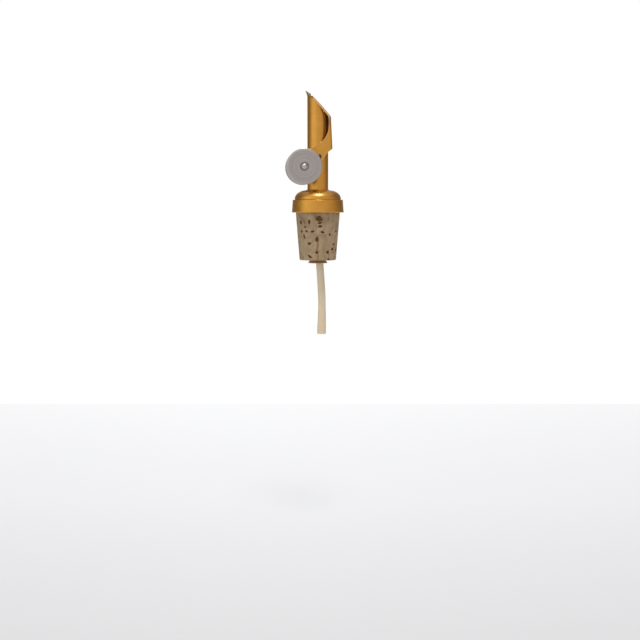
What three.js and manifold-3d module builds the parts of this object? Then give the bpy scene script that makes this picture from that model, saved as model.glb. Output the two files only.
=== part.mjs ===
// Weighted bottle pourer: a slant-cut tube on a collar and cork, with a flap that two discs hold shut.
// Millimetres, +Z up. The tube and cork stand on the Z axis, and z = 0 is the underside of the skirt
// that rests on the bottle. The pouring lip and the discs are towards -X, and the flap turns about Y.
import * as THREE from 'three';
import { mergeVertices } from 'three/addons/utils/BufferGeometryUtils.js';
import Module from 'manifold-3d';

const wasm = await Module();
wasm.setup();

// Clearances
const FIT = 0.05; // between pieces that are pressed or rest together
const RUN = 0.3; // between pieces that move past each other

// Pour tube and its slanted mouth
const TUBE_R = 4.85;
const TUBE_WALL = 0.6;
const TUBE_FOOT_Z = 5.1;
const LIP_START_Z = 53.3;
const LIP_TOP_Z = 56.6;
const LIP_FLARE = 1.35;
const LIP_TIP = { x: -5.8, z: 56 };
const LIP_RISE = 0.68; // upward for each millimetre towards the tip

// Flap: a folded sheet whose lid is a shallow crowned arc over the mouth
const SHEET = 0.6;
const FLAP_HALF_WIDTH = 5.8;
const BACK_CORNER_R = 1.2;
const LID_RADIUS = 90;
const LID_CROWN = 0.3; // from the middle down to the edges
const LID_FRONT = { x: -4.9, z: 55.6 };
const LID_BACK = { x: 5.78, z: 44.3 }; // where the lid and the back plate would meet, unrounded
const BEND_R = 3.4; // outside, between the lid and the back plate
const BACK_FOOT = { x: 6.5, z: 29.3 };
const EDGE_DEPTH = 1.2;
const SHOULDER_X = -2.8;
const TONGUE_TIP_X = -3.95;
const TONGUE_HALF_WIDTH = 2.3;

// Pivot rivet and counterweights
const PIVOT_Z = 25.6;
const PIVOT_PIN_R = 0.8;
const PIVOT_HEAD_R = 1.35;
const PIVOT_HEAD_TIP_Y = 6.75;
const WEIGHT_X = -6.75;
const WEIGHT_Z = 21.05;
const WEIGHT_PIN_R = 1.1;
const WEIGHT_R = 8.15;
const ARM_END_R = 3.05; // of the flap's arm round the weight pin
const WEIGHT_INNER_Y = 7.05;
const WEIGHT_THICKNESS = 4;
const SPACER_R = 2.3;

// Collar
const SKIRT_R = 12.1;
const SKIRT_TOP_R = 11.7;
const SKIRT_TOP_Z = 5.9;
const LEDGE_R = 8.9;
const LEDGE_THICKNESS = 0.8;
const HEM_INNER_R = 10.9;
const DOME_R = 10.8;
const DOME_FOOT_Z = SKIRT_TOP_Z + FIT;
const DOME_BASE_Z = 6.35;
const DOME_TOP_Z = 10.65;
const DOME_HEIGHT = 3.95;
const DOME_FLAT_R = 5.4;
const DOME_WALL = 0.8;

// Stem, cork and air tubes
const STEM_R = 3.7;
const STEM_WALL = 0.6;
const FLANGE_R = 9.9;
const FLANGE_THICKNESS = 0.85;
const FLANGE_TOP_Z = SKIRT_TOP_Z - LEDGE_THICKNESS - FIT;
const STEM_TOP_Z = 8.2;
const STEM_FLARE_R = 4.6;
const CORK_TOP_R = 10.35;
const CORK_BOTTOM_R = 8.55;
const CORK_LENGTH = 22.5;
const VENT_R = 1.3;
const VENT_WALL = 0.25;
const VENT_X = 2.75;
const VENT_TOP_Z = 43.5;
const VENT_END_Z = -22;
const BREATHER_R = 1.75;
const BREATHER_WALL = 0.35;
const BREATHER_TOP_Z = -12;
const BREATHER_END_Z = -57.2;
const BREATHER_FLARE = 0.4;
const BREATHER_SLOPE = 0.03; // sideways run for each millimetre down
const BREATHER_X = 0.92; // where its axis crosses the cork's underside

// Facets round a full turn
const SMALL_TURN = 20;
const TUBE_TURN = 48;
const WIDE_TURN = 56;
const LID_TURN = 240;

// Solids

function toSolid(geometry) {
  geometry.deleteAttribute('normal');
  geometry.deleteAttribute('uv');
  const merged = mergeVertices(geometry, 1e-4);
  const vertProperties = new Float32Array(merged.attributes.position.array);
  const triVerts = new Uint32Array(merged.index.array);
  return new wasm.Manifold(new wasm.Mesh({ numProp: 3, vertProperties, triVerts }));
}

function toGeometry(solid) {
  const mesh = solid.getMesh();
  const geometry = new THREE.BufferGeometry();
  geometry.setAttribute('position', new THREE.BufferAttribute(mesh.vertProperties, 3));
  geometry.setIndex(new THREE.BufferAttribute(mesh.triVerts, 1));
  const flat = geometry.toNonIndexed();
  flat.computeVertexNormals();
  return flat;
}

// A closed ring or body of turned section, given as [radius, height] points, about the Z axis.
function turned(profile, segments) {
  const points = profile.map(([radius, height]) => new THREE.Vector2(radius, height));
  return new THREE.LatheGeometry(points, segments).rotateX(Math.PI / 2);
}

// The same about an axis parallel to Y, through (x, z). Heights in the profile are then along Y.
function turnedAcross(profile, segments, x, z) {
  const points = profile.map(([radius, height]) => new THREE.Vector2(radius, height));
  return new THREE.LatheGeometry(points, segments).translate(x, 0, z);
}

function closed(profile) {
  return [...profile, profile[0]];
}

function ring(innerR, outerR, low, high) {
  return closed([[innerR, low], [outerR, low], [outerR, high], [innerR, high]]);
}

function rod(radius, low, high) {
  return [[0, low], [radius, low], [radius, high], [0, high]];
}

// A side view drawn in X and Z, given depth along Y from one side to the other.
function sidePlate(shape, fromY, toY) {
  const geometry = new THREE.ExtrudeGeometry(shape, {
    depth: toY - fromY,
    bevelEnabled: false,
    curveSegments: 16,
  });
  return geometry.rotateX(Math.PI / 2).translate(0, toY, 0);
}

// A plan drawn in X and Y, given height along Z.
function planBlock(shape, lowZ, highZ) {
  return new THREE.ExtrudeGeometry(shape, {
    depth: highZ - lowZ,
    bevelEnabled: false,
    curveSegments: 12,
  }).translate(0, 0, lowZ);
}

// The lid's arc: its centre is square to the chord from front to back, on the pouring side.
const lidChord = new THREE.Vector2(LID_BACK.x - LID_FRONT.x, LID_BACK.z - LID_FRONT.z);
const lidHalfChord = lidChord.length() / 2;
const lidCentreDepth = Math.sqrt(LID_RADIUS ** 2 - lidHalfChord ** 2);
const lidCentre = {
  x: (LID_FRONT.x + LID_BACK.x) / 2 + (lidChord.y / lidChord.length()) * lidCentreDepth,
  z: (LID_FRONT.z + LID_BACK.z) / 2 - (lidChord.x / lidChord.length()) * lidCentreDepth,
};
const backLean = (BACK_FOOT.x - LID_BACK.x) / (BACK_FOOT.z - LID_BACK.z);

// The bend between the lid and the back plate: the centre of a circle that touches both from inside,
// and the directions from it to where it touches them.
const downBack = new THREE.Vector2(backLean, 1).normalize().negate();
const outOfBack = new THREE.Vector2(-downBack.y, downBack.x);
const fromLidCentre = new THREE.Vector2(LID_BACK.x - lidCentre.x, LID_BACK.z - lidCentre.z)
  .addScaledVector(outOfBack, -BEND_R);
const alongBack = fromLidCentre.dot(downBack);
const bendDrop = -alongBack
  - Math.sqrt(alongBack ** 2 - fromLidCentre.lengthSq() + (LID_RADIUS - BEND_R) ** 2);
const bendFromLid = fromLidCentre.clone().addScaledVector(downBack, bendDrop);
const bendCentre = { x: lidCentre.x + bendFromLid.x, z: lidCentre.z + bendFromLid.y };
const bendLidAngle = bendFromLid.angle();
const bendBackAngle = Math.atan2(outOfBack.y, outOfBack.x);

// A wide disc about the lid's arc centre. Its crowned rim is the lid, set in by inset.
function lidDisc(inset, halfWidth) {
  const rim = [];
  const steps = 12;
  for (let i = 0; i <= steps; i++) {
    const y = halfWidth * ((2 * i) / steps - 1);
    rim.push([LID_RADIUS - inset - LID_CROWN * (y / FLAP_HALF_WIDTH) ** 2, y]);
  }
  const profile = [[0, -halfWidth], ...rim, [0, halfWidth]];
  return toSolid(turnedAcross(profile, LID_TURN, lidCentre.x, lidCentre.z));
}

// Everything under the bend between the lid and the back plate, set in by inset.
function underBend(inset) {
  const bendR = BEND_R - inset;
  const reach = 70;
  const shape = new THREE.Shape();
  const onBack = {
    x: bendCentre.x + bendR * Math.cos(bendBackAngle),
    z: bendCentre.z + bendR * Math.sin(bendBackAngle),
  };
  const onLid = {
    x: bendCentre.x + bendR * Math.cos(bendLidAngle),
    z: bendCentre.z + bendR * Math.sin(bendLidAngle),
  };
  shape.moveTo(onBack.x + reach * downBack.x, onBack.z + reach * downBack.y);
  shape.lineTo(onBack.x, onBack.z);
  shape.absarc(bendCentre.x, bendCentre.z, bendR, bendBackAngle, bendLidAngle, false);
  shape.lineTo(
    onLid.x - reach * Math.sin(bendLidAngle),
    onLid.z + reach * Math.cos(bendLidAngle),
  );
  shape.lineTo(-reach, onBack.z + reach * downBack.y);
  shape.closePath();
  return toSolid(sidePlate(shape, -8, 8));
}

// The upright channel round the tube, leaning with the back plate, set in by inset from the outside.
function backChannel(inset, lowZ, highZ) {
  const right = BACK_FOOT.x - inset;
  const halfWidth = FLAP_HALF_WIDTH - inset;
  const cornerR = BACK_CORNER_R - inset;
  const plan = new THREE.Shape();
  plan.moveTo(-13, -halfWidth);
  plan.lineTo(right - cornerR, -halfWidth);
  plan.absarc(right - cornerR, -halfWidth + cornerR, cornerR, -Math.PI / 2, 0, false);
  plan.lineTo(right, halfWidth - cornerR);
  plan.absarc(right - cornerR, halfWidth - cornerR, cornerR, 0, Math.PI / 2, false);
  plan.lineTo(-13, halfWidth);
  plan.closePath();
  const lean = new THREE.Matrix4().set(
    1, 0, backLean, -BACK_FOOT.z * backLean,
    0, 1, 0, 0,
    0, 0, 1, 0,
    0, 0, 0, 1,
  );
  return toSolid(planBlock(plan, lowZ, highZ).applyMatrix4(lean));
}

// The room the flap may fill. Over the mouth it ends in rounded shoulders on the rim, with a tongue
// that lies inside the flared lip. Lower down, where the arms pass the tube, it is open to both sides.
function flapRoom() {
  const halfWidth = FLAP_HALF_WIDTH + 1;
  const roundX = 1.2;
  const roundY = 2.2;
  const plan = new THREE.Shape();
  plan.moveTo(14, halfWidth);
  plan.lineTo(SHOULDER_X + roundX, halfWidth);
  plan.absellipse(
    SHOULDER_X + roundX, halfWidth - roundY, roundX, roundY, Math.PI / 2, Math.PI, false, 0,
  );
  plan.absellipse(
    SHOULDER_X, 0, SHOULDER_X - TONGUE_TIP_X, TONGUE_HALF_WIDTH,
    Math.PI / 2, Math.PI * 1.5, false, 0,
  );
  plan.absellipse(
    SHOULDER_X + roundX, roundY - halfWidth, roundX, roundY, Math.PI, Math.PI * 1.5, false, 0,
  );
  plan.lineTo(14, -halfWidth);
  plan.closePath();
  const overMouth = toSolid(planBlock(plan, 39, 64));
  const besideTube = toSolid(new THREE.BoxGeometry(40, 2 * halfWidth, 30).translate(0, 0, 25));
  return overMouth.add(besideTube);
}

// Side view of the sheet that is left after trimming: the lid's lower edge, the ear and its arm to the
// weight pin. The lid's top and the back plate lie inside this outline, so it doesn't touch them.
function flapOutline() {
  const lowerR = LID_RADIUS - EDGE_DEPTH;
  const shape = new THREE.Shape();
  const startAngle = Math.atan2(LID_FRONT.z + 1 - lidCentre.z, LID_FRONT.x - 3 - lidCentre.x);
  const earTop = { x: 4.04, z: 44.23 };
  const endAngle = Math.atan2(earTop.z - lidCentre.z, earTop.x - lidCentre.x);
  shape.moveTo(
    lidCentre.x + lowerR * Math.cos(startAngle),
    lidCentre.z + lowerR * Math.sin(startAngle),
  );
  shape.absarc(lidCentre.x, lidCentre.z, lowerR, startAngle, endAngle, true);
  shape.bezierCurveTo(5.15, 42.6, 5, 38.1, 3.84, 35.72);
  shape.bezierCurveTo(2.5, 32.9, -0.3, 30.8, -5.1, 28.9);
  shape.bezierCurveTo(-7.9, 27.8, WEIGHT_X - ARM_END_R, 25, WEIGHT_X - ARM_END_R, WEIGHT_Z);
  shape.absarc(WEIGHT_X, WEIGHT_Z, ARM_END_R, Math.PI, Math.PI * 1.62, false);
  shape.bezierCurveTo(-2.9, 19.8, 0.7, 22.1, 1.85, 24.2);
  shape.lineTo(3.75, 26.9);
  shape.quadraticCurveTo(4.3, 27.7, 5, 28.15);
  shape.lineTo(BACK_FOOT.x, BACK_FOOT.z);
  shape.lineTo(11, 30.2);
  shape.lineTo(11, 62);
  shape.lineTo(-8, 62);
  shape.closePath();
  return toSolid(sidePlate(shape, -8, 8));
}

function makeFlap() {
  const outside = lidDisc(0, FLAP_HALF_WIDTH)
    .intersect(backChannel(0, 12, 62))
    .intersect(underBend(0))
    .intersect(flapRoom());
  const inside = lidDisc(SHEET, FLAP_HALF_WIDTH + 1)
    .intersect(backChannel(SHEET, 8, 64))
    .intersect(underBend(SHEET));
  const pivotHole = toSolid(turnedAcross(rod(PIVOT_PIN_R + RUN, -9, 9), SMALL_TURN, 0, PIVOT_Z));
  const pinHole = toSolid(
    turnedAcross(rod(WEIGHT_PIN_R + FIT, -9, 9), SMALL_TURN, WEIGHT_X, WEIGHT_Z),
  );
  const sheet = outside.subtract(inside).intersect(flapOutline());
  return sheet.subtract(pivotHole).subtract(pinHole);
}

// Everything above the tube's slanted mouth. Under the flap it follows the lid and bend, RUN below them.
// In front of the flap's shoulders it steps up to the lip, which rises to its tip less steeply.
function aboveMouth() {
  const mouthR = LID_RADIUS - SHEET - RUN;
  const stepX = SHOULDER_X - RUN;
  const stepZ = lidCentre.z + Math.sqrt(mouthR ** 2 - (stepX - lidCentre.x) ** 2);
  const lipFootX = stepX - 0.4;
  const startAngle = Math.atan2(stepZ - lidCentre.z, stepX - lidCentre.x);
  const bendR = BEND_R - SHEET - RUN;
  const onBackX = bendCentre.x + bendR * Math.cos(bendBackAngle);
  const onBackZ = bendCentre.z + bendR * Math.sin(bendBackAngle);
  const shape = new THREE.Shape();
  shape.moveTo(-10, LIP_TIP.z + LIP_RISE * (LIP_TIP.x + 10));
  shape.lineTo(lipFootX, LIP_TIP.z + LIP_RISE * (LIP_TIP.x - lipFootX));
  shape.absarc(lidCentre.x, lidCentre.z, mouthR, startAngle, bendLidAngle, true);
  shape.absarc(bendCentre.x, bendCentre.z, bendR, bendLidAngle, bendBackAngle, true);
  shape.lineTo(onBackX + 4 * downBack.x, onBackZ + 4 * downBack.y);
  shape.lineTo(14, onBackZ + 4 * downBack.y);
  shape.lineTo(14, 70);
  shape.lineTo(-10, 70);
  shape.closePath();
  return toSolid(sidePlate(shape, -10, 10));
}

function makePourTube() {
  const outer = [];
  const inner = [];
  const steps = 8;
  for (let i = 0; i <= steps; i++) {
    const part = i / steps;
    const z = LIP_START_Z + (LIP_TOP_Z - LIP_START_Z) * part;
    const flare = LIP_FLARE * part ** 1.6;
    outer.push([TUBE_R + flare, z]);
    inner.unshift([TUBE_R - TUBE_WALL + flare, z]);
  }
  const boreR = TUBE_R - TUBE_WALL;
  const profile = closed([[boreR, TUBE_FOOT_Z], [TUBE_R, TUBE_FOOT_Z], ...outer, ...inner]);
  const pinHole = toSolid(turnedAcross(rod(PIVOT_PIN_R + FIT, -9, 9), SMALL_TURN, 0, PIVOT_Z));
  return toSolid(turned(profile, TUBE_TURN)).subtract(aboveMouth()).subtract(pinHole);
}

// A quarter of the dome's outline, from its foot up to near its top, set in by inset.
function domeArc(inset, topAngle) {
  const sweep = DOME_R - DOME_FLAT_R - inset;
  const points = [];
  const steps = 6;
  for (let i = 0; i <= steps; i++) {
    const angle = (i / steps) * topAngle;
    const z = DOME_BASE_Z + (DOME_HEIGHT - inset) * Math.sin(angle);
    points.push([DOME_FLAT_R + sweep * Math.cos(angle), z]);
  }
  return points;
}

function makeDomeCap() {
  const outside = domeArc(0, Math.PI * 0.47);
  const underside = domeArc(DOME_WALL, Math.PI * 0.46).reverse();
  const holeR = TUBE_R + FIT;
  return turned(closed([
    [DOME_R - DOME_WALL, DOME_FOOT_Z],
    [DOME_R, DOME_FOOT_Z],
    ...outside,
    [holeR + 0.4, DOME_TOP_Z - 0.3],
    [holeR, DOME_TOP_Z],
    [holeR, underside[0][1]],
    ...underside,
  ]), WIDE_TURN);
}

function makeSkirtRing() {
  return turned(closed([
    [HEM_INNER_R, 0],
    [SKIRT_R - 0.15, 0],
    [SKIRT_R, 0.15],
    [SKIRT_R, 0.75],
    [SKIRT_R - 0.12, 0.95],
    [SKIRT_TOP_R, SKIRT_TOP_Z - 0.5],
    [SKIRT_TOP_R - 0.3, SKIRT_TOP_Z],
    [LEDGE_R, SKIRT_TOP_Z],
    [LEDGE_R, SKIRT_TOP_Z - LEDGE_THICKNESS],
    [SKIRT_TOP_R - 0.8, SKIRT_TOP_Z - LEDGE_THICKNESS],
    [SKIRT_R - 0.9, 1],
    [HEM_INNER_R, 0.9],
  ]), WIDE_TURN);
}

function makeStemTube() {
  const boreR = STEM_R - STEM_WALL;
  const flangeLow = FLANGE_TOP_Z - FLANGE_THICKNESS;
  return turned(closed([
    [boreR, -CORK_LENGTH],
    [STEM_FLARE_R - STEM_WALL, -CORK_LENGTH - 1.25],
    [STEM_FLARE_R, -CORK_LENGTH - 1],
    [STEM_R, -CORK_LENGTH + 0.1],
    [STEM_R, flangeLow],
    [FLANGE_R, flangeLow],
    [FLANGE_R, FLANGE_TOP_Z],
    [TUBE_R - TUBE_WALL - FIT, FLANGE_TOP_Z],
    [TUBE_R - TUBE_WALL - FIT, STEM_TOP_Z],
    [boreR, STEM_TOP_Z],
  ]), TUBE_TURN);
}

function makeCork() {
  const boreR = STEM_R + FIT;
  const topZ = FLANGE_TOP_Z - FLANGE_THICKNESS - FIT;
  const taper = (CORK_TOP_R - CORK_BOTTOM_R) / CORK_LENGTH;
  return turned(closed([
    [boreR, -CORK_LENGTH + 0.3],
    [CORK_BOTTOM_R - 0.5, -CORK_LENGTH + 0.3],
    [CORK_BOTTOM_R - 0.12, -CORK_LENGTH + 0.45],
    [CORK_BOTTOM_R + taper * 0.8, -CORK_LENGTH + 0.8],
    [CORK_TOP_R, 0],
    [CORK_TOP_R, topZ - 0.3],
    [CORK_TOP_R - 0.3, topZ],
    [boreR, topZ],
  ]), TUBE_TURN);
}

// A tube that follows the air line, with the same section all along.
function airLine(points, outerR, wall, steps) {
  const section = new THREE.Shape();
  section.absarc(0, 0, outerR, 0, Math.PI * 2, false);
  const bore = new THREE.Path();
  bore.absarc(0, 0, outerR - wall, 0, Math.PI * 2, true);
  section.holes.push(bore);
  return new THREE.ExtrudeGeometry(section, {
    steps,
    curveSegments: 8,
    bevelEnabled: false,
    extrudePath: new THREE.CatmullRomCurve3(points, false, 'centripetal'),
  });
}

function breatherX(z) {
  return BREATHER_X + (-CORK_LENGTH - z) * BREATHER_SLOPE;
}

function makeVentTube() {
  const points = [
    new THREE.Vector3(VENT_X, 0, VENT_TOP_Z),
    new THREE.Vector3(VENT_X, 0, 30),
    new THREE.Vector3(VENT_X, 0, 17.5),
    new THREE.Vector3(VENT_X - 0.45, 0, 12),
    new THREE.Vector3(breatherX(4) + 0.35, 0, 4),
    new THREE.Vector3(breatherX(-2), 0, -2),
    new THREE.Vector3(breatherX(-10), 0, -10),
    new THREE.Vector3(breatherX(VENT_END_Z), 0, VENT_END_Z),
  ];
  return airLine(points, VENT_R, VENT_WALL, 20);
}

function makeBreatherTube() {
  const length = BREATHER_TOP_Z - BREATHER_END_Z;
  const boreR = BREATHER_R - BREATHER_WALL;
  const flareLength = 13;
  const profile = closed([
    [boreR, 0],
    [boreR, -length + flareLength],
    [boreR + BREATHER_FLARE, -length],
    [BREATHER_R + BREATHER_FLARE, -length],
    [BREATHER_R, -length + flareLength],
    [BREATHER_R, 0],
  ]);
  const geometry = turned(profile, SMALL_TURN);
  geometry.rotateY(Math.atan(BREATHER_SLOPE) * -1);
  return geometry.translate(breatherX(BREATHER_TOP_Z), 0, BREATHER_TOP_Z);
}

// A pin along Y with a low domed head at each end.
function domedPin(shankR, headR, headFromY, tipY, x, z) {
  const half = [];
  const steps = 4;
  for (let i = 0; i <= steps; i++) {
    const angle = (i / steps) * (Math.PI / 2);
    half.push([headR * Math.cos(angle), headFromY + (tipY - headFromY) * Math.sin(angle)]);
  }
  half[steps][0] = 0;
  const upper = [[shankR, headFromY], ...half];
  const lower = upper.map(([radius, height]) => [radius, -height]).reverse();
  return turnedAcross([...lower, ...upper], SMALL_TURN, x, z);
}

function makeWeight(side) {
  const inner = WEIGHT_INNER_Y;
  const outer = WEIGHT_INNER_Y + WEIGHT_THICKNESS;
  const holeR = WEIGHT_PIN_R + FIT;
  const profile = closed([
    [holeR, inner],
    [WEIGHT_R - 0.3, inner],
    [WEIGHT_R, inner + 0.3],
    [WEIGHT_R, outer - 0.45],
    [WEIGHT_R - 0.45, outer],
    [2, outer],
    [1.6, outer - 0.5],
    [holeR, outer - 0.5],
  ]);
  const placed = side > 0 ? profile : profile.map(([radius, y]) => [radius, -y]).reverse();
  return turnedAcross(placed, WIDE_TURN, WEIGHT_X, WEIGHT_Z);
}

function makeSpacer(side) {
  const near = FLAP_HALF_WIDTH + FIT;
  const far = WEIGHT_INNER_Y - FIT;
  const [low, high] = side > 0 ? [near, far] : [-far, -near];
  const holeR = WEIGHT_PIN_R + FIT;
  return turnedAcross(ring(holeR, SPACER_R, low, high), SMALL_TURN, WEIGHT_X, WEIGHT_Z);
}

// The assembly

const gold = { color: 0xb8823c, roughness: 0.34, metalness: 1 };
const steel = { color: 0xa09a96, roughness: 0.38, metalness: 1 };
const cork = { color: 0xa58c69, roughness: 0.9, metalness: 0 };
const milkyPlastic = { color: 0xcdb48f, roughness: 0.45, metalness: 0 };

function piece(name, geometry, finish) {
  const mesh = new THREE.Mesh(geometry, new THREE.MeshStandardMaterial(finish));
  mesh.name = name;
  return mesh;
}

const pivotPin = domedPin(
  PIVOT_PIN_R, PIVOT_HEAD_R, FLAP_HALF_WIDTH + 0.2, PIVOT_HEAD_TIP_Y, 0, PIVOT_Z,
);
const weightOuterY = WEIGHT_INNER_Y + WEIGHT_THICKNESS;
const weightPin = domedPin(
  WEIGHT_PIN_R, 1.4, weightOuterY - 0.5 + FIT, weightOuterY + 0.65, WEIGHT_X, WEIGHT_Z,
);

const spout = new THREE.Group();
spout.add(
  piece('pour_tube', toGeometry(makePourTube()), gold),
  piece('dome_cap', makeDomeCap(), gold),
  piece('skirt_ring', makeSkirtRing(), gold),
  piece('stem_tube', makeStemTube(), gold),
  piece('cork_stopper', makeCork(), cork),
  piece('vent_tube', makeVentTube(), steel),
  piece('breather_tube', makeBreatherTube(), milkyPlastic),
  piece('pivot_pin', pivotPin, gold),
);

const flapGroup = new THREE.Group();
flapGroup.add(
  piece('flap', toGeometry(makeFlap()), gold),
  piece('weight_pin', weightPin, steel),
);
for (const [name, side] of [['near', -1], ['far', 1]]) {
  flapGroup.add(piece(`weight_${name}`, makeWeight(side), steel));
  flapGroup.add(piece(`spacer_${name}`, makeSpacer(side), steel));
}

const pourer = new THREE.Group();
pourer.add(spout, flapGroup);

export default pourer;
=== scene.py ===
import math
import random

import bmesh
import bpy
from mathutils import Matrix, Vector, noise


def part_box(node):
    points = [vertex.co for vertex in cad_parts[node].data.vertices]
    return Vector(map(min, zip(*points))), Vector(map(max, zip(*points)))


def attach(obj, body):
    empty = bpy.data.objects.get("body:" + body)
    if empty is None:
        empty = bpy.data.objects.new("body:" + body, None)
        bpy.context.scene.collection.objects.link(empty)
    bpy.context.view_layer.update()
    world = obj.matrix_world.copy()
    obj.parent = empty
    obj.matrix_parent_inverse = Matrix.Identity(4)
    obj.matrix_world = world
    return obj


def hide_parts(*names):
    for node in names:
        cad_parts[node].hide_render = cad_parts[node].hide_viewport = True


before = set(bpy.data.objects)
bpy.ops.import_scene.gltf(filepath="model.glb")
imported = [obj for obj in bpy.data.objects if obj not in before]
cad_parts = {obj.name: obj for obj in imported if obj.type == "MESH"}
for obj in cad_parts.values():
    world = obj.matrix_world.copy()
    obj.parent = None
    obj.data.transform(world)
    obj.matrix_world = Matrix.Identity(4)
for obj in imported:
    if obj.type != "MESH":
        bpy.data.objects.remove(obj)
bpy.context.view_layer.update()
MM = 0.001

# Places and sizes taken from the frame, in metres

tube_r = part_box("pour_tube")[1].y
skirt_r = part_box("skirt_ring")[1].x
ledge_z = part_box("skirt_ring")[1].z
dome_low, dome_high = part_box("dome_cap")
cork_low, cork_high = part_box("cork_stopper")
breather_low, breather_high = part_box("breather_tube")
disc_low, disc_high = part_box("weight_far")
disc_x = (disc_low.x + disc_high.x) / 2
disc_z = (disc_low.z + disc_high.z) / 2
disc_r = (disc_high.x - disc_low.x) / 2
spacer_low, spacer_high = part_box("spacer_far")
pin_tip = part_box("weight_pin")[1].y
pivot_low, pivot_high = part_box("pivot_pin")
pivot_z = (pivot_low.z + pivot_high.z) / 2
flap_sheet = 0.6 * MM
ear_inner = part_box("flap")[1].y - flap_sheet

# Mesh helpers

MERGE_DISTANCE = 0.0005 * MM
FILLET_LIMIT = 0.48  # the most of a side that one fillet may take


def make_object(name, points, faces, material, body, smooth_angle=35):
    mesh = bpy.data.meshes.new(name)
    mesh.from_pydata([tuple(p) for p in points], [], faces)
    clean = bmesh.new()
    clean.from_mesh(mesh)
    bmesh.ops.remove_doubles(clean, verts=clean.verts, dist=MERGE_DISTANCE)
    clean.to_mesh(mesh)
    clean.free()
    for polygon in mesh.polygons:
        polygon.use_smooth = True
    mesh.set_sharp_from_angle(angle=math.radians(smooth_angle))
    mesh.materials.append(material)
    obj = bpy.data.objects.new(name, mesh)
    bpy.context.scene.collection.objects.link(obj)
    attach(obj, body)
    return obj


def fillet(corners, steps=6):
    """A closed outline from (radius, height, fillet) corners, in metres from millimetres."""
    points = []
    count = len(corners)
    for i, (r, h, size) in enumerate(corners):
        corner = Vector((r, h))
        before = Vector(corners[i - 1][:2]) - corner
        after = Vector(corners[(i + 1) % count][:2]) - corner
        if size <= 0:
            points.append(corner * MM)
            continue
        half = before.angle(after) / 2
        reach = min(size / math.tan(half), before.length * FILLET_LIMIT, after.length * FILLET_LIMIT)
        start = corner + before.normalized() * reach
        end = corner + after.normalized() * reach
        for k in range(steps + 1):
            t = k / steps
            bend = start * (1 - t) ** 2 + corner * 2 * t * (1 - t) + end * t**2
            points.append(bend * MM)
    return points


def revolve(outline, turns, place):
    """Points and faces of an outline turned about an axis. place(r, h, angle) gives each point."""
    points = []
    faces = []
    rows = len(outline)
    for k in range(turns):
        angle = 2 * math.pi * k / turns
        points += [place(p[0], p[1], angle) for p in outline]
    for k in range(turns):
        near, far = k * rows, ((k + 1) % turns) * rows
        for i in range(rows):
            j = (i + 1) % rows
            faces.append((near + i, far + i, far + j, near + j))
    return points, faces


def about_z(r, h, angle):
    return Vector((r * math.cos(angle), r * math.sin(angle), h))


def about_pin(x, z, side):
    """Turns an outline about a pin along Y. Heights run outwards on that side."""

    def place(r, h, angle):
        return Vector((x + r * math.cos(angle), side * h, z - side * r * math.sin(angle)))

    return place


def smoothstep(low, high, value):
    t = min(max((value - low) / (high - low), 0), 1)
    return t * t * (3 - 2 * t)


# Material helpers


def new_material(name, roughness, metallic):
    material = bpy.data.materials.new(name)
    material.use_nodes = True
    shader = material.node_tree.nodes["Principled BSDF"]
    shader.inputs["Roughness"].default_value = roughness
    shader.inputs["Metallic"].default_value = metallic
    return material, material.node_tree, shader


def node(tree, kind, inputs=None, **settings):
    made = tree.nodes.new(kind)
    for key, value in settings.items():
        setattr(made, key, value)
    for key, value in (inputs or {}).items():
        if isinstance(value, bpy.types.NodeSocket):
            tree.links.new(value, made.inputs[key])
        else:
            made.inputs[key].default_value = value
    return made


def ramp(tree, factor, stops):
    made = node(tree, "ShaderNodeValToRGB", {"Fac": factor})
    elements = made.color_ramp.elements
    for element, (position, colour) in zip((elements[0], elements[1]), (stops[0], stops[-1])):
        element.position = position
        element.color = (*colour, 1)
    for position, colour in stops[1:-1]:
        elements.new(position).color = (*colour, 1)
    return made.outputs["Color"]


def grey(value):
    return (value, value, value)


def rgba(colour):
    return (*colour, 1)


def coords(tree, scale=(1, 1, 1)):
    place = node(tree, "ShaderNodeTexCoord").outputs["Object"]
    return node(tree, "ShaderNodeMapping", {"Vector": place, "Scale": scale}).outputs["Vector"]


def noise_at(tree, vector, scale, detail=3.0, roughness=0.55):
    inputs = {"Vector": vector, "Scale": scale, "Detail": detail, "Roughness": roughness}
    return node(tree, "ShaderNodeTexNoise", inputs).outputs["Fac"]


def blend(tree, factor, first, second, mode="MIX"):
    made = node(tree, "ShaderNodeMix", {"Factor": factor}, data_type="RGBA", blend_type=mode)
    for key, value in (("A", first), ("B", second)):
        socket = next(s for s in made.inputs if s.name == key and s.type == "RGBA")
        if isinstance(value, bpy.types.NodeSocket):
            tree.links.new(value, socket)
        else:
            socket.default_value = rgba(value)
    return next(s for s in made.outputs if s.type == "RGBA")


def bump_from(tree, shader, height, strength, distance):
    inputs = {"Strength": strength, "Distance": distance, "Height": height}
    bump = node(tree, "ShaderNodeBump", inputs)
    tree.links.new(bump.outputs["Normal"], shader.inputs["Normal"])


def distance_from(tree, centre):
    """Distance in the XZ plane from a line along Y."""
    place = node(tree, "ShaderNodeTexCoord").outputs["Object"]
    inputs = {0: place, 1: (centre[0], 0, centre[1])}
    offset = node(tree, "ShaderNodeVectorMath", inputs, operation="SUBTRACT").outputs[0]
    flat = node(tree, "ShaderNodeVectorMath", {0: offset, 1: (1, 0, 1)}, operation="MULTIPLY")
    inputs = {0: flat.outputs[0]}
    return node(tree, "ShaderNodeVectorMath", inputs, operation="LENGTH").outputs["Value"]


def between(tree, value, low, high):
    inputs = {"Value": value, "From Min": low, "From Max": high}
    settings = {"interpolation_type": "SMOOTHSTEP"}
    return node(tree, "ShaderNodeMapRange", inputs, **settings).outputs["Result"]


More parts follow.
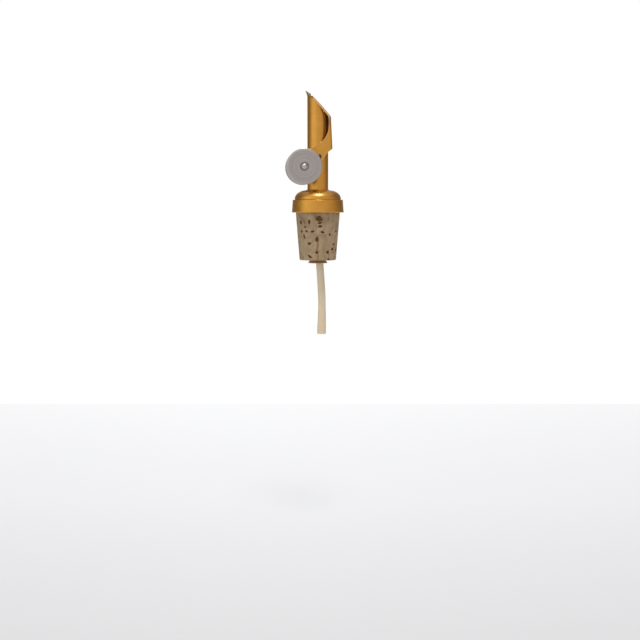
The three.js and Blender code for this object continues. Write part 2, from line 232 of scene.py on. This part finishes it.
def metal(name, light, dark, roughness, spread, brushing, masks=(), lacquer=0.0):
    """Satin metal: cloudy tone, smudges, fine grain stretched by brushing, and a few scratches.
    masks holds (mask, colour) pairs: where mask(tree) is 1 the tone turns to that colour.
    lacquer is the share of a clear gloss coat over it."""
    material, tree, shader = new_material(name, roughness, 1.0)
    shader.inputs["Coat Weight"].default_value = lacquer
    shader.inputs["Coat Roughness"].default_value = 0.1
    cloud = noise_at(tree, coords(tree), 160.0, 3.0)
    tone = ramp(tree, cloud, [(0.32, dark), (0.68, light)])
    speck = noise_at(tree, coords(tree), 2600.0, 2.0)
    tone = blend(tree, between(tree, speck, 0.66, 0.8), tone, [c * 0.72 for c in dark])
    scratch = noise_at(tree, coords(tree, (1, 1, 0.06)), 5200.0, 1.0)
    bright = [min(c * 1.25 + 0.03, 1) for c in light]
    tone = blend(tree, between(tree, scratch, 0.72, 0.8), tone, bright)
    for mask, colour in masks:
        tone = blend(tree, mask(tree), tone, colour)
    tree.links.new(tone, shader.inputs["Base Color"])
    smudge = noise_at(tree, coords(tree), 420.0, 4.0, 0.65)
    grain = noise_at(tree, coords(tree, brushing), 7000.0, 3.0)
    smudged = ramp(tree, smudge, [(0.3, grey(roughness - spread)), (0.7, grey(roughness + spread))])
    grained = ramp(tree, grain, [(0.3, grey(0.85)), (0.7, grey(1.15))])
    rough = blend(tree, 1.0, smudged, grained, "MULTIPLY")
    tree.links.new(rough, shader.inputs["Roughness"])
    bump_from(tree, shader, grain, 0.25, 0.006 * MM)
    return material


# The lip's rim, in a pale silvery tone: partly the bare rim, partly a painted reflection. It is
# everything above a slanted plane just under the lip's edge
LIP_RISE = 0.68
LIP_EDGE = 52.06 * MM
LIP_BAND = 0.85 * MM
LIP_SOFT = 0.15 * MM


def lip_bare_and_reflection_mask(tree):
    place = node(tree, "ShaderNodeTexCoord").outputs["Object"]
    inputs = {0: place, 1: (LIP_RISE, 0, 1)}
    slanted = node(tree, "ShaderNodeVectorMath", inputs, operation="DOT_PRODUCT").outputs["Value"]
    return between(tree, slanted, LIP_EDGE - LIP_BAND - LIP_SOFT, LIP_EDGE - LIP_BAND + LIP_SOFT)


# The lid's side edges, in a pale tone: partly a worn cut edge, partly a painted highlight. They are the
# outermost ring of the disc that the lid's arc is part of
LID_RADIUS = 90 * MM
LID_FRONT = Vector((-4.9, 55.6)) * MM
LID_BACK = Vector((5.78, 44.3)) * MM
LID_EDGE_DEPTH = 1.32 * MM  # how far in from the arc the pale edge reaches
LID_EDGE_SOLID = 1.1 * MM  # and how far in it is at its full colour
lid_chord = LID_BACK - LID_FRONT
lid_depth = math.sqrt(LID_RADIUS**2 - (lid_chord.length / 2) ** 2)
lid_side = Vector((lid_chord.y, -lid_chord.x)).normalized()
lid_centre = (LID_FRONT + LID_BACK) / 2 + lid_side * lid_depth


def lid_edge_wear_and_highlight_mask(tree):
    reach = distance_from(tree, lid_centre)
    ring = between(tree, reach, LID_RADIUS - LID_EDGE_DEPTH, LID_RADIUS - LID_EDGE_SOLID)
    normal = node(tree, "ShaderNodeTexCoord").outputs["Normal"]
    sideways = node(tree, "ShaderNodeSeparateXYZ", {"Vector": normal}).outputs["Y"]
    steep = node(tree, "ShaderNodeMath", {0: sideways}, operation="ABSOLUTE").outputs[0]
    facing = between(tree, steep, 0.7, 0.9)
    return node(tree, "ShaderNodeMath", {0: ring, 1: facing}, operation="MULTIPLY").outputs[0]


INSIDE_SOFT = 0.05 * MM


def flap_inside_shade_mask(tree):
    """Painted shade on the flap's inner faces, a duller tone than the outside: the ears' faces turned
    towards the middle plane, and the back plate's and lid's faces turned towards the tube."""
    source = node(tree, "ShaderNodeTexCoord")
    place = node(tree, "ShaderNodeSeparateXYZ", {"Vector": source.outputs["Object"]})
    normal = node(tree, "ShaderNodeSeparateXYZ", {"Vector": source.outputs["Normal"]})
    inputs = {0: place.outputs["Y"], 1: normal.outputs["Y"]}
    outward = node(tree, "ShaderNodeMath", inputs, operation="MULTIPLY").outputs[0]
    turned = node(tree, "ShaderNodeMath", {0: outward, 1: -1.0}, operation="MULTIPLY").outputs[0]
    ears = between(tree, turned, ear_inner * 0.4, ear_inner * 0.8)
    aside = node(tree, "ShaderNodeMath", {0: place.outputs["Y"]}, operation="ABSOLUTE").outputs[0]
    inputs = {0: 1.0, 1: between(tree, aside, ear_inner - INSIDE_SOFT, ear_inner)}
    middle = node(tree, "ShaderNodeMath", inputs, operation="SUBTRACT").outputs[0]
    inputs = {0: normal.outputs["X"], 1: -1.0}
    forward = node(tree, "ShaderNodeMath", inputs, operation="MULTIPLY").outputs[0]
    inputs = {0: middle, 1: between(tree, forward, 0.5, 0.7)}
    back = node(tree, "ShaderNodeMath", inputs, operation="MULTIPLY").outputs[0]
    return node(tree, "ShaderNodeMath", {0: ears, 1: back}, operation="MAXIMUM").outputs[0]


# the rim is polished; its paler colour is partly a painted highlight
RIM_START = 0.1 * MM  # where the disc's polished rim starts, in from its radius
RIM_SOLID = 0.03 * MM


def turned_material():
    """Face-turned steel: concentric tool marks, a faint two-tone sheen, handling smudges and a
    polished rim, its paler colour partly a painted highlight."""
    material, tree, shader = new_material("turned_disc", 0.36, 1.0)
    radius = distance_from(tree, (disc_x, disc_z))
    line = node(tree, "ShaderNodeCombineXYZ", {"X": radius}).outputs[0]
    rings = noise_at(tree, line, 4200.0, 4.0, 0.7)
    cloud = noise_at(tree, coords(tree), 190.0, 2.0)
    tone = ramp(tree, cloud, [(0.35, (0.445, 0.42, 0.395)), (0.65, (0.475, 0.42, 0.425))])
    tone = blend(tree, between(tree, rings, 0.25, 0.85), tone, (0.56, 0.51, 0.50))
    speck = noise_at(tree, coords(tree), 2200.0, 2.0)
    tone = blend(tree, between(tree, speck, 0.68, 0.8), tone, (0.24, 0.21, 0.2))
    coarse = noise_at(tree, line, 1150.0, 2.0)
    shade = ramp(tree, coarse, [(0.36, grey(0.8)), (0.64, grey(1.04))])
    tone = blend(tree, 1.0, tone, shade, "MULTIPLY")
    rim = between(tree, radius, disc_r - RIM_START, disc_r - RIM_SOLID)
    tone = blend(tree, rim, tone, (0.68, 0.65, 0.62))
    tree.links.new(tone, shader.inputs["Base Color"])
    smudge = noise_at(tree, coords(tree), 380.0, 4.0, 0.65)
    smudged = ramp(tree, smudge, [(0.3, grey(0.32)), (0.7, grey(0.46))])
    ringed = ramp(tree, rings, [(0.3, grey(0.8)), (0.7, grey(1.15))])
    rough = blend(tree, 1.0, smudged, ringed, "MULTIPLY")
    rim_rough = ramp(tree, smudge, [(0.3, grey(0.14)), (0.7, grey(0.24))])
    tree.links.new(blend(tree, rim, rough, rim_rough), shader.inputs["Roughness"])
    bump_from(tree, shader, rings, 0.35, 0.02 * MM)
    return material


def cork_material():
    """Bark cork: fine cells, soft vertical grain, brown lenticels where the mesh is pitted, with
    painted shade deeper in the pits and along the crack.
    """
    material, tree, shader = new_material("natural_cork", 0.88, 0.0)
    cloud = noise_at(tree, coords(tree), 230.0, 5.0, 0.6)
    stops = [(0.28, (0.28, 0.19, 0.105)), (0.5, (0.41, 0.295, 0.17)), (0.75, (0.48, 0.365, 0.23))]
    tone = ramp(tree, cloud, stops)
    grain = noise_at(tree, coords(tree, (1, 1, 0.16)), 900.0, 4.0, 0.6)
    tone = blend(tree, between(tree, grain, 0.56, 0.72), tone, (0.30, 0.165, 0.085))
    cells = node(
        tree,
        "ShaderNodeTexVoronoi",
        {"Vector": coords(tree, (1, 1, 0.7)), "Scale": 2100.0},
        feature="DISTANCE_TO_EDGE",
    ).outputs["Distance"]
    walls = ramp(tree, cells, [(0.0, grey(0.8)), (0.12, grey(1.0))])
    tone = blend(tree, 1.0, tone, walls, "MULTIPLY")
    fleck = noise_at(tree, coords(tree, (1, 1, 0.6)), 1300.0, 3.0)
    tone = blend(tree, between(tree, fleck, 0.63, 0.7), tone, (0.17, 0.085, 0.035))
    # painted shade along the crack
    crack = node(tree, "ShaderNodeAttribute", attribute_name="crack").outputs["Fac"]
    tone = blend(tree, crack, tone, (0.22, 0.11, 0.055))
    pit = node(tree, "ShaderNodeAttribute", attribute_name="pit").outputs["Fac"]
    depth = noise_at(tree, coords(tree), 1500.0, 3.0)
    # the pits' floors: partly the lenticels' own brown, partly painted shade, darker deeper in
    pit_brown_and_shade = ramp(tree, depth, [(0.35, (0.065, 0.026, 0.007)), (0.7, (0.19, 0.098, 0.03))])
    tone = blend(tree, between(tree, pit, 0.0, 0.5), tone, (0.25, 0.14, 0.065))
    tone = blend(tree, between(tree, pit, 0.3, 0.7), tone, pit_brown_and_shade)
    tree.links.new(tone, shader.inputs["Base Color"])
    rough = ramp(tree, cloud, [(0.3, grey(0.95)), (0.7, grey(0.78))])
    tree.links.new(rough, shader.inputs["Roughness"])
    bumpy = blend(tree, 0.5, walls, fleck)
    bump_from(tree, shader, bumpy, 0.5, 0.05 * MM)
    return material


def plastic_material():
    """Milky extruded plastic, stained warm in patches, with faint lines along its length."""
    material, tree, shader = new_material("milky_plastic", 0.36, 0.0)
    patches = noise_at(tree, coords(tree, (1, 1, 0.35)), 260.0, 3.0)
    stops = [(0.35, (0.73, 0.63, 0.46)), (0.6, (0.80, 0.61, 0.42)), (0.75, (0.82, 0.54, 0.32))]
    tone = ramp(tree, patches, stops)
    lines = noise_at(tree, coords(tree, (1, 1, 0.03)), 2400.0, 3.0)
    tone = blend(tree, between(tree, lines, 0.55, 0.75), tone, (0.84, 0.78, 0.67))
    tree.links.new(tone, shader.inputs["Base Color"])
    shader.inputs["Subsurface Weight"].default_value = 0.35
    shader.inputs["Subsurface Radius"].default_value = (1.0, 0.7, 0.45)
    shader.inputs["Subsurface Scale"].default_value = 0.8 * MM
    smudge = noise_at(tree, coords(tree), 500.0, 4.0)
    rough = ramp(tree, smudge, [(0.3, grey(0.3)), (0.7, grey(0.48))])
    tree.links.new(rough, shader.inputs["Roughness"])
    bump_from(tree, shader, lines, 0.3, 0.02 * MM)
    return material


GOLD_LIGHT = (0.76, 0.385, 0.078)
GOLD_DARK = (0.70, 0.335, 0.060)
# pale tone for the lip's rim: partly bare metal, partly a painted reflection
LIP_BARE_AND_REFLECTION = (0.50, 0.48, 0.35)
# pale gold for edges: partly wear, partly a painted highlight
PALE_WEAR_AND_HIGHLIGHT = (0.84, 0.52, 0.245)
# duller tone for the flap's inside: painted shade
INSIDE_PAINTED_SHADE = (0.46, 0.40, 0.34)
gold = metal("satin_gold", GOLD_LIGHT, GOLD_DARK, 0.31, 0.035, (1, 1, 0.2), lacquer=0.14)
gold_skirt = metal("satin_gold_skirt", GOLD_LIGHT, GOLD_DARK, 0.37, 0.04, (1, 1, 0.2))
tube_masks = [(lip_bare_and_reflection_mask, LIP_BARE_AND_REFLECTION)]
gold_tube = metal("satin_gold_tube", GOLD_LIGHT, GOLD_DARK, 0.34, 0.035, (1, 1, 0.2), tube_masks)
flap_masks = [(lid_edge_wear_and_highlight_mask, PALE_WEAR_AND_HIGHLIGHT), (flap_inside_shade_mask, INSIDE_PAINTED_SHADE)]
gold_flap = metal("satin_gold_flap", GOLD_LIGHT, GOLD_DARK, 0.36, 0.04, (1, 1, 0.3), flap_masks)
# the flap's rounded edges: partly worn, partly a painted highlight in their paler colour
worn_and_highlit_edge = metal("worn_and_highlit_edge", PALE_WEAR_AND_HIGHLIGHT, (0.72, 0.42, 0.17), 0.3, 0.04, (1, 1, 1))
# a near-black brass for the pivot rivet: painted shade where the rivet sits in a shadowed gap
shade_dark_brass = metal("brass_in_painted_shade", (0.16, 0.10, 0.05), (0.09, 0.055, 0.03), 0.42, 0.06, (1, 1, 1))
stem_brass = metal("stained_brass", (0.80, 0.62, 0.42), (0.58, 0.41, 0.25), 0.45, 0.06, (1, 1, 0.3))
turned_steel = turned_material()
plain_steel = metal("plain_steel", (0.60, 0.56, 0.54), (0.50, 0.46, 0.44), 0.27, 0.05, (1, 0.2, 1))
bright_steel = metal("bright_steel", (0.62, 0.60, 0.54), (0.5, 0.48, 0.43), 0.25, 0.05, (1, 1, 0.1))
natural_cork = cork_material()
milky_plastic = plastic_material()

# Carried-over CAD nodes: rounded edges, even shading and better materials


WELD_DISTANCE = 0.001 * MM  # the CAD nodes' faces come with their own corners


def carry_over(name, width, material, edge=None):
    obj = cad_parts[name]
    obj.data.materials.clear()
    obj.data.materials.append(material)
    if edge:
        obj.data.materials.append(edge)
    weld = obj.modifiers.new("weld_corners", "WELD")
    weld.merge_threshold = WELD_DISTANCE
    merge = obj.modifiers.new("merge_flat", "DECIMATE")
    merge.decimate_type = "DISSOLVE"
    merge.angle_limit = math.radians(0.4)
    bevel = obj.modifiers.new("round_edges", "BEVEL")
    bevel.width = width
    bevel.segments = 3
    bevel.limit_method = "ANGLE"
    bevel.angle_limit = math.radians(35)
    bevel.use_clamp_overlap = False
    bevel.material = 1 if edge else -1
    even = obj.modifiers.new("even_shading", "WEIGHTED_NORMAL")
    even.keep_sharp = True
    for polygon in obj.data.polygons:
        polygon.use_smooth = True


carry_over("pour_tube", 0.16 * MM, gold_tube)
carry_over("flap", 0.19 * MM, gold_flap, worn_and_highlit_edge)
carry_over("stem_tube", 0.1 * MM, stem_brass)
carry_over("vent_tube", 0.05 * MM, bright_steel)

# Collar: a skirt with a curled hem under a stamped dome, which turns up in a bead round the tube


def make_skirt():
    r = skirt_r / MM
    top = ledge_z / MM
    wall = 0.8
    hem_inner, hem_top, shoulder_r, mouth_r = 10.9, 0.95, 11.7, 8.9
    outline = fillet(
        [
            (hem_inner, 0.0, 0.3),
            (r, 0.0, 0.22),
            (r, hem_top - 0.2, 0.05),
            (r - 0.06, hem_top, 0.05),
            (shoulder_r, top, 0.3),
            (mouth_r, top, 0.15),
            (mouth_r, top - wall, 0.1),
            (hem_inner, top - wall, 0.4),
            (hem_inner + 0.3, hem_top + 0.25, 0.08),
            (hem_inner, hem_top - 0.03, 0.22),
        ]
    )
    points, faces = revolve(outline, 180, about_z)
    skirt = make_object("skirt_visual", points, faces, gold_skirt, "spout")
    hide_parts("skirt_ring")


def make_dome():
    foot = dome_low.z / MM
    base, height, flat, wall = foot + 0.4, 3.95, 5.4, 0.8
    outer_r = dome_high.x / MM
    hole = tube_r / MM + 0.06
    corners = [
        (outer_r - wall, foot, 0.15),
        (outer_r, foot, 0.2),
        (outer_r, base, 0),
        (outer_r - wall, base, 0),
    ]
    outline = fillet(corners)[:-2]
    steps = 20
    outer_arc, inner_arc = math.pi * 0.47, math.pi * 0.46
    for i in range(steps + 1):
        angle = (i / steps) * outer_arc
        r = flat + (outer_r - flat) * math.cos(angle)
        outline.append(Vector((r, base + height * math.sin(angle))) * MM)
    top = base + height
    # A small step up to the bead round the tube's foot
    for r, z in ((hole + 0.62, top - 0.01), (hole + 0.5, top + 0.05), (hole + 0.4, top + 0.16)):
        outline.append(Vector((r, z)) * MM)
    for i in range(6):
        angle = (i / 5) * math.pi * 0.5
        r = hole + 0.02 + 0.3 * math.cos(angle)
        outline.append(Vector((r, top + 0.18 + 0.16 * math.sin(angle))) * MM)
    outline.append(Vector((hole, top + 0.2)) * MM)
    outline.append(Vector((hole, top - wall)) * MM)
    for i in range(steps, -1, -1):
        angle = (i / steps) * inner_arc
        r = flat + (outer_r - flat - wall) * math.cos(angle)
        outline.append(Vector((r, base + (height - wall) * math.sin(angle))) * MM)
    points, faces = revolve(outline, 180, about_z)
    dome = make_object("dome_visual", points, faces, gold, "spout")
    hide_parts("dome_cap")


# Cork: (angle from the front, height, half width, half height, tilt), degrees and millimetres.
# Lenticels are the bark's breathing pores, cut across when the stopper is turned.
LARGE_LENTICELS = [
    (-27, -4.4, 0.6, 1.05, 0),
    (0, -2.8, 1.7, 1.3, 0),
    (3, -4.7, 1.0, 0.55, 10),
    (3, -6.4, 0.95, 0.6, 0),
    (-57, -4.3, 0.7, 0.9, 20),
    (-41, -6.6, 0.6, 0.45, 0),
    (-55, -8.8, 0.6, 0.6, 0),
    (-37, -8.6, 0.75, 0.5, 10),
    (-18, -8.7, 1.0, 0.5, 5),
    (10, -9.1, 0.95, 0.55, -15),
    (33, -10.2, 0.65, 0.5, 0),
    (60, -8.5, 0.6, 0.6, 0),
    (-6, -12.3, 0.8, 1.25, 0),
    (-46, -11.2, 0.45, 1.4, 5),
    (-29, -14.4, 0.9, 0.65, 20),
    (-6, -18.4, 0.85, 0.6, 0),
    (28, -18.4, 0.75, 0.75, -30),
    (52, -14.7, 1.0, 0.4, 0),
    (47, -17, 0.9, 0.5, -10),
    (-29, -20.4, 1.2, 0.55, -40),
    (33, -21.6, 0.6, 0.4, 0),
]


def lenticels():
    """The large ones at the front, then others scattered round the rest."""
    scatter = random.Random(11)
    spots = [(math.radians(a), z, w, h, math.radians(t)) for a, z, w, h, t in LARGE_LENTICELS]
    for _ in range(42):
        angle = math.radians(scatter.uniform(72, 288))
        height = scatter.uniform(-21.8, -0.6)
        width = scatter.uniform(0.35, 1.05)
        tall = width * scatter.uniform(0.45, 1.6)
        spots.append((angle, height, width, min(tall, 1.3), scatter.uniform(-0.6, 0.6)))
    return spots


def pit_depth(spots, around, z, r):
    """How deep into a lenticel a point of the cork's side is, from 0 to 1."""
    deepest = 0.0
    place = Vector((around * r, z, 3.1))
    wobble = noise.noise(place * 0.9) + 0.6 * noise.noise(place * 2.3)
    for angle, height, width, tall, tilt in spots:
        dz = z - height
        if abs(dz) > 2.4:
            continue
        turn = (around - angle + math.pi) % (2 * math.pi) - math.pi
        du = turn * r
        if abs(du) > 2.4:
            continue
        across = du * math.cos(tilt) + dz * math.sin(tilt)
        along = dz * math.cos(tilt) - du * math.sin(tilt)
        reach = math.hypot(across / width, along / tall) + 0.35 * wobble
        deepest = max(deepest, 1 - smoothstep(0.55, 1.3, reach))
    return deepest


def make_cork():
    top_r, bottom_r = cork_high.x / MM, 8.55
    low, high = cork_low.z / MM, cork_high.z / MM
    bore, length = 3.75, 22.5
    taper = (top_r - bottom_r) / length
    outline = [Vector((bore + (bottom_r - 0.55 - bore) * i / 10, low)) for i in range(11)]
    outline += [Vector((bottom_r - 0.3, low + 0.03)), Vector((bottom_r - 0.1, low + 0.14))]
    rows = 96
    for i in range(rows + 1):
        z = low + 0.35 + (high - 0.35 - low - 0.35) * i / rows
        outline.append(Vector((min(bottom_r + taper * (z + length), top_r), z)))
    outline += [Vector((top_r - 0.1, high - 0.12)), Vector((top_r - 0.3, high))]
    outline += [Vector((bore, high)), Vector((bore, (low + high) / 2))]
    spots = lenticels()
    pits = []
    cracks = []

    def place(r, z, angle):
        around = angle + math.pi / 2
        side = smoothstep(bottom_r - 1.2, bottom_r - 0.1, r) * (1 - smoothstep(2.0, 3.2, z))
        pit = pit_depth(spots, around, z, r) * side
        turn = (around + 0.08 + 0.02 * math.sin(z) + math.pi) % (2 * math.pi) - math.pi
        crack = (1 - smoothstep(0.1, 0.75, abs(turn * r))) * (1 - smoothstep(-12, -10, z)) * side
        grain = 0.05 * noise.noise(Vector((r * math.cos(angle), r * math.sin(angle), z * 0.4)) * 1.1)
        chip = 0.0
        if z < low + 0.5 and r > bottom_r - 0.7:
            chip = 0.16 * max(noise.noise(Vector((around * 4.5, 0.2, 7.7))), 0)
        inward = 0.5 * pit + 0.12 * crack * abs(math.sin(z * 1.9)) + (0.05 + grain) * side + chip
        pits.append(pit)
        cracks.append(crack * 0.75)
        return about_z((r - inward) * MM, (z + chip * 0.6) * MM, angle)

    points, faces = revolve(outline, 260, place)
    cork = make_object("cork_visual", points, faces, natural_cork, "spout", 50)
    if len(cork.data.vertices) != len(pits):
        raise RuntimeError("the cork's points and its pit depths no longer match")
    for name, values in (("pit", pits), ("crack", cracks)):
        attribute = cork.data.attributes.new(name, "FLOAT", "POINT")
        attribute.data.foreach_set("value", values)
    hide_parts("cork_stopper")


# Breather tube: leans a little as it leaves the cork, then hangs straight


def make_breather():
    low, high = breather_low.z / MM + 0.15, breather_high.z / MM - 0.5
    wall, radius, flare = 0.35, 1.75, 0.36
    rows = 60
    turns = 64
    start_x, lean_by, swing_back = 0.55, 1.4, 0.2
    points = []
    for i in range(rows + 1):
        z = low + (high - low) * i / rows
        lean = smoothstep(-14, -44, z)
        x = start_x + lean_by * lean - swing_back * smoothstep(-46, -58, z)
        y = 0.12 * math.sin((z + 22) * 0.09)
        wide = radius + flare * smoothstep(-42, -56, z)
        uneven = 0.05 * noise.noise(Vector((0.4, 0.8, z * 0.25)))
        edge = 0.07 if i in (0, rows) else 0
        for inner in (False, True):
            for k in range(turns):
                angle = 2 * math.pi * k / turns
                oval = 1 + 0.02 * math.cos(2 * angle + z * 0.05)
                r = (wide + uneven) * oval - (wall - edge if inner else edge)
                points.append(
                    Vector((x + r * math.cos(angle), y + r * math.sin(angle), z)) * MM
                )
    faces = []
    for k in range(turns):
        m = (k + 1) % turns
        for i in range(rows):
            a, b = i * 2 * turns, (i + 1) * 2 * turns
            faces.append((a + k, a + m, b + m, b + k))
            faces.append((a + turns + m, a + turns + k, b + turns + k, b + turns + m))
        end = rows * 2 * turns
        faces.append((turns + k, turns + m, m, k))
        faces.append((end + k, end + m, end + turns + m, end + turns + k))
    breather = make_object(
        "breather_visual", points, faces, milky_plastic, "spout", 50
    )
    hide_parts("breather_tube")


# Counterweights: discs faced on a lathe, on a pin with peened ends, with spacer collars inside


def make_disc(name, node_name, side):
    inner, outer = disc_low.y / MM, disc_high.y / MM
    radius = disc_r / MM
    hole = 1.15
    ring_from, ring_to = radius - 0.7, 2.15
    corners = [
        (hole, inner, 0.1),
        (radius, inner, 0.3),
        (radius, outer - 0.3, 0.12),
        (ring_from, outer - 0.03, 0),
        (hole, outer - 0.5, 0),
    ]
    outline = fillet(corners)[:-2]
    steps = 84
    for i in range(steps + 1):
        r = ring_from + (ring_to - ring_from) * i / steps
        fade = 1 - smoothstep(3.5, 6.5, r)
        ripple = (0.006 + 0.018 * fade) * math.sin(r * 2 * math.pi / 0.75)
        outline.append(Vector((r, outer - 0.03 + ripple)) * MM)
    outline += fillet([(2.0, outer - 0.03, 0), (1.62, outer - 0.45, 0.05), (hole, outer - 0.5, 0)])
    points, faces = revolve(outline, 160, about_pin(disc_x, disc_z, side))
    disc = make_object(name, points, faces, turned_steel, "flap", 30)
    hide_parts(node_name)


def domed_pin(name, node_name, shank, head, head_from, tip, x, z, material, body):
    """A pin with a domed head at each end, each over a short step. Sizes in millimetres."""
    step, inset = 0.06, 0.05
    outline = []
    steps = 10
    half = []
    for i in range(steps + 1):
        angle = (i / steps) * math.pi / 2
        half.append((head * math.cos(angle) if i < steps else 0.0, math.sin(angle)))
    for r, share in reversed(half):
        outline.append(Vector((r, -head_from - step - (tip - head_from - step) * share)) * MM)
    outline += [Vector((head - inset, -head_from)) * MM, Vector((shank, -head_from)) * MM]
    outline += [Vector((shank, head_from)) * MM, Vector((head - inset, head_from)) * MM]
    for r, share in half:
        outline.append(Vector((r, head_from + step + (tip - head_from - step) * share)) * MM)
    points, faces = revolve(outline, 56, about_pin(x, z, 1))
    pin = make_object(name, points, faces, material, body, 40)
    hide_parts(node_name)


def make_spacer(name, node_name, side):
    low, high = spacer_low.y / MM, spacer_high.y / MM
    radius = (spacer_high.x - spacer_low.x) / 2 / MM
    outline = fillet(
        [(1.15, low, 0.05), (radius, low, 0.12), (radius, high, 0.12), (1.15, high, 0.05)]
    )
    points, faces = revolve(outline, 72, about_pin(disc_x, disc_z, side))
    spacer = make_object(name, points, faces, plain_steel, "flap")
    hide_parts(node_name)


make_skirt()
make_dome()
make_cork()
make_breather()
make_disc("disc_near", "weight_near", -1)
make_disc("disc_far", "weight_far", 1)
make_spacer("collar_near", "spacer_near", -1)
make_spacer("collar_far", "spacer_far", 1)
domed_pin(
    "peened_pin",
    "weight_pin",
    shank=1.1,
    head=1.4,
    head_from=disc_high.y / MM - 0.45,
    tip=pin_tip / MM,
    x=disc_x,
    z=disc_z,
    material=plain_steel,
    body="flap",
)
# the pivot rivet's dark brass is painted shade
domed_pin(
    "pivot_rivet",
    "pivot_pin",
    shank=0.8,
    head=(pivot_high.x - pivot_low.x) / 2 / MM,
    head_from=6.0,
    tip=pivot_high.y / MM,
    x=0,
    z=pivot_z,
    material=shade_dark_brass,
    body="spout",
)

# Stage, light and camera

CAMERA_DISTANCE = 0.522
CAMERA_TURN = math.radians(-3.5)
CAMERA_HEIGHT = 3 * MM
FOCAL = 1.734  # focal length over frame width
PITCH = math.radians(5.864)
SIDEWAYS = math.radians(0.1136)
FLOOR_Z = -152 * MM
FLOOR_BACK = 0.341
FLOOR_REACH = 1.6
GLOW_FRONT = -0.3


def make_floor():
    sides = (-FLOOR_REACH, FLOOR_REACH)
    corners = [(sides[0], sides[0]), (sides[1], sides[0]), (sides[1], FLOOR_BACK), (sides[0], FLOOR_BACK)]
    mesh = bpy.data.meshes.new("floor")
    mesh.from_pydata([(x, y, 0) for x, y in corners], [], [(0, 1, 2, 3)])
    floor = bpy.data.objects.new("floor", mesh)
    floor.location.z = FLOOR_Z
    floor.rotation_euler.z = CAMERA_TURN - SIDEWAYS
    bpy.context.scene.collection.objects.link(floor)
    material, tree, shader = new_material("floor_white", 0.5, 0.0)
    shader.inputs["Base Color"].default_value = (0.25, 0.25, 0.25, 1)
    place = node(tree, "ShaderNodeTexCoord").outputs["Object"]
    depth = node(tree, "ShaderNodeSeparateXYZ", {"Vector": place}).outputs["Y"]
    inputs = {"Value": depth, "From Min": GLOW_FRONT, "From Max": FLOOR_BACK}
    near_to_far = node(tree, "ShaderNodeMapRange", inputs).outputs["Result"]
    # the floor's glow is painted light, dimmer towards the camera
    stops = [(0, (0.44, 0.44, 0.45)), (0.55, (0.645, 0.648, 0.667)), (1, (0.74, 0.743, 0.757))]
    glow = ramp(tree, near_to_far, stops)
    tree.links.new(glow, shader.inputs["Emission Color"])
    shader.inputs["Emission Strength"].default_value = 1.0
    mesh.materials.append(material)


def make_world():
    """Soft light from the front and left that falls off to both sides, and a plain backdrop behind.
    The camera itself sees white."""
    world = bpy.data.worlds.new("studio")
    bpy.context.scene.world = world
    world.use_nodes = True
    tree = world.node_tree
    direction = node(tree, "ShaderNodeTexCoord").outputs["Generated"]
    split = node(tree, "ShaderNodeSeparateXYZ", {"Vector": direction})
    front = node(tree, "ShaderNodeMath", {0: split.outputs["Y"], 1: -1.0}, operation="MULTIPLY")
    inputs = {0: split.outputs["X"], 1: front.outputs[0]}
    turn = node(tree, "ShaderNodeMath", inputs, operation="ARCTAN2").outputs[0]
    inputs = {"Value": turn, "From Min": -math.pi, "From Max": math.pi}
    share = node(tree, "ShaderNodeMapRange", inputs).outputs["Result"]
    levels = [
        (-180, 0.8, 0.8, 0.8),
        (-168, 0.45, 0.45, 0.45),
        (-150, 0.22, 0.21, 0.20),
        (-118, 0.19, 0.18, 0.17),
        (-96, 0.26, 0.25, 0.23),
        (-80, 0.60, 0.59, 0.56),
        (-64, 1.0, 1.01, 0.96),
        (-45, 1.0, 1.01, 0.94),
        (-28, 0.84, 0.84, 0.78),
        (-8, 0.70, 0.69, 0.65),
        (12, 0.65, 0.63, 0.60),
        (38, 0.62, 0.58, 0.55),
        (66, 0.52, 0.47, 0.43),
        (84, 0.34, 0.30, 0.27),
        (104, 0.19, 0.17, 0.15),
        (150, 0.22, 0.21, 0.20),
        (168, 0.45, 0.45, 0.45),
        (180, 0.8, 0.8, 0.8),
    ]
    around = ramp(tree, share, [((angle + 180) / 360, rest) for angle, *rest in levels])
    upward = between(tree, split.outputs["Z"], 0.5, 0.9)
    lit = blend(tree, upward, around, (0.6, 0.6, 0.6))
    seen = node(tree, "ShaderNodeLightPath").outputs["Is Camera Ray"]
    tree.links.new(blend(tree, seen, lit, grey(1.0)), tree.nodes["Background"].inputs["Color"])


def make_light(name, place, width, height, power):
    data = bpy.data.lights.new(name, "AREA")
    data.shape = "RECTANGLE"
    data.size = width
    data.size_y = height
    data.energy = power
    light = bpy.data.objects.new(name, data)
    light.location = place
    light.rotation_euler = (-Vector(place)).to_track_quat("-Z", "Y").to_euler()
    bpy.context.scene.collection.objects.link(light)


def make_camera():
    """At the collar's height, a little to its left, tilted down, with a long lens."""
    data = bpy.data.cameras.new("camera")
    data.sensor_width = 36
    data.lens = data.sensor_width * FOCAL
    camera = bpy.data.objects.new("camera", data)
    camera.location = (
        CAMERA_DISTANCE * math.sin(CAMERA_TURN),
        -CAMERA_DISTANCE * math.cos(CAMERA_TURN),
        CAMERA_HEIGHT,
    )
    camera.rotation_euler = (math.pi / 2 - PITCH, 0, CAMERA_TURN - SIDEWAYS)
    bpy.context.scene.collection.objects.link(camera)
    bpy.context.scene.camera = camera


make_floor()
make_world()
make_light("overhead", (0.015, -0.17, 0.42), 0.09, 0.07, 0.9)
make_camera()
bpy.context.scene.view_settings.view_transform = "Standard"
